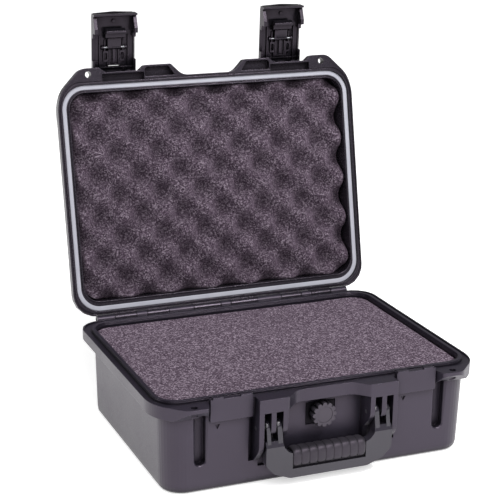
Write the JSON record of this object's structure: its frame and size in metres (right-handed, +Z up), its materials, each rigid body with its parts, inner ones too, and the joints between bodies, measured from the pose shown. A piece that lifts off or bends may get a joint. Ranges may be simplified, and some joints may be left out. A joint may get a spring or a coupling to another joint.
{
  "type": "hard equipment case",
  "caption": "Hard-sided foam-filled equipment case with a hinged lid, lever latches, a folding carry handle and a screw-in pressure vent.",
  "frame": {"origin": "middle of the base's underside, on the ground", "axes": "+Z up, front with the handle towards -Y, hinge axis along X; the lid stands open at the rear"},
  "size_m": [0.411, 0.443, 0.4867],
  "materials": {
    "case_plastic": "fine moulded texture",
    "latch_plastic": "satin",
    "handle_plastic": "satin",
    "grip_rubber": "soft matt",
    "gasket_rubber": "pale grey, matt",
    "foam": "open-cell foam",
    "pin_steel": "plain",
    "vent_plastic": "satin",
    "lid_plastic": "smooth moulded, dark"
  },
  "bodies": {
    "base": {"base_shell": "case_plastic", "base_foam_pad": "foam", "base_foam_lower": "foam", "base_foam_upper": "foam", "hinge_rod": "pin_steel", "handle_pin_left": "pin_steel", "handle_pin_right": "pin_steel", "valve_body": "vent_plastic", "valve_seal": "grip_rubber"},
    "lid": {"lid_shell": "lid_plastic", "lid_gasket": "gasket_rubber", "lid_foam": "foam", "latch_pin_left": "pin_steel", "latch_pin_right": "pin_steel"},
    "latch_l": {"latch_body_left": "latch_plastic", "trigger_pin_left": "pin_steel"},
    "latch_r": {"latch_body_right": "latch_plastic", "trigger_pin_right": "pin_steel"},
    "trigger_l": {"latch_trigger_left": "latch_plastic"},
    "trigger_r": {"latch_trigger_right": "latch_plastic"},
    "handle": {"handle_frame": "handle_plastic", "handle_grip": "grip_rubber"},
    "vent": {"valve_knob": "vent_plastic"}
  },
  "joints": [
    {"name": "lid_hinge", "type": "hinge", "parent": "base", "child": "lid", "pos_m": [0, 0.156, 0.11], "axis": [1, 0, 0], "range_deg": [0, 102.5]},
    {"name": "latch_left", "type": "hinge", "parent": "lid", "child": "latch_l", "pos_m": [-0.1172, 0.25385, 0.40676], "axis": [1, 0, 0], "range_deg": [0, 75.6]},
    {"name": "latch_right", "type": "hinge", "parent": "lid", "child": "latch_r", "pos_m": [0.1172, 0.25385, 0.40676], "axis": [1, 0, 0], "range_deg": [0, 75.6]},
    {"name": "trigger_left", "type": "hinge", "parent": "latch_l", "child": "trigger_l", "pos_m": [-0.1172, 0.25821, 0.44132], "axis": [-1, 0, 0], "range_deg": [0, 8], "stiffness_Nm_per_rad": 0.6, "springref_deg": -2.86},
    {"name": "trigger_right", "type": "hinge", "parent": "latch_r", "child": "trigger_r", "pos_m": [0.1172, 0.25821, 0.44132], "axis": [-1, 0, 0], "range_deg": [0, 8], "stiffness_Nm_per_rad": 0.6, "springref_deg": -2.86},
    {"name": "handle_swing", "type": "hinge", "parent": "base", "child": "handle", "pos_m": [0, -0.1525, 0.073], "axis": [-1, 0, 0], "range_deg": [0, 100]},
    {"name": "valve_turn", "type": "hinge", "parent": "base", "child": "vent", "pos_m": [0, -0.145, 0.0758], "axis": [0, -1, 0], "range_deg": [0, 270]}
  ]
}
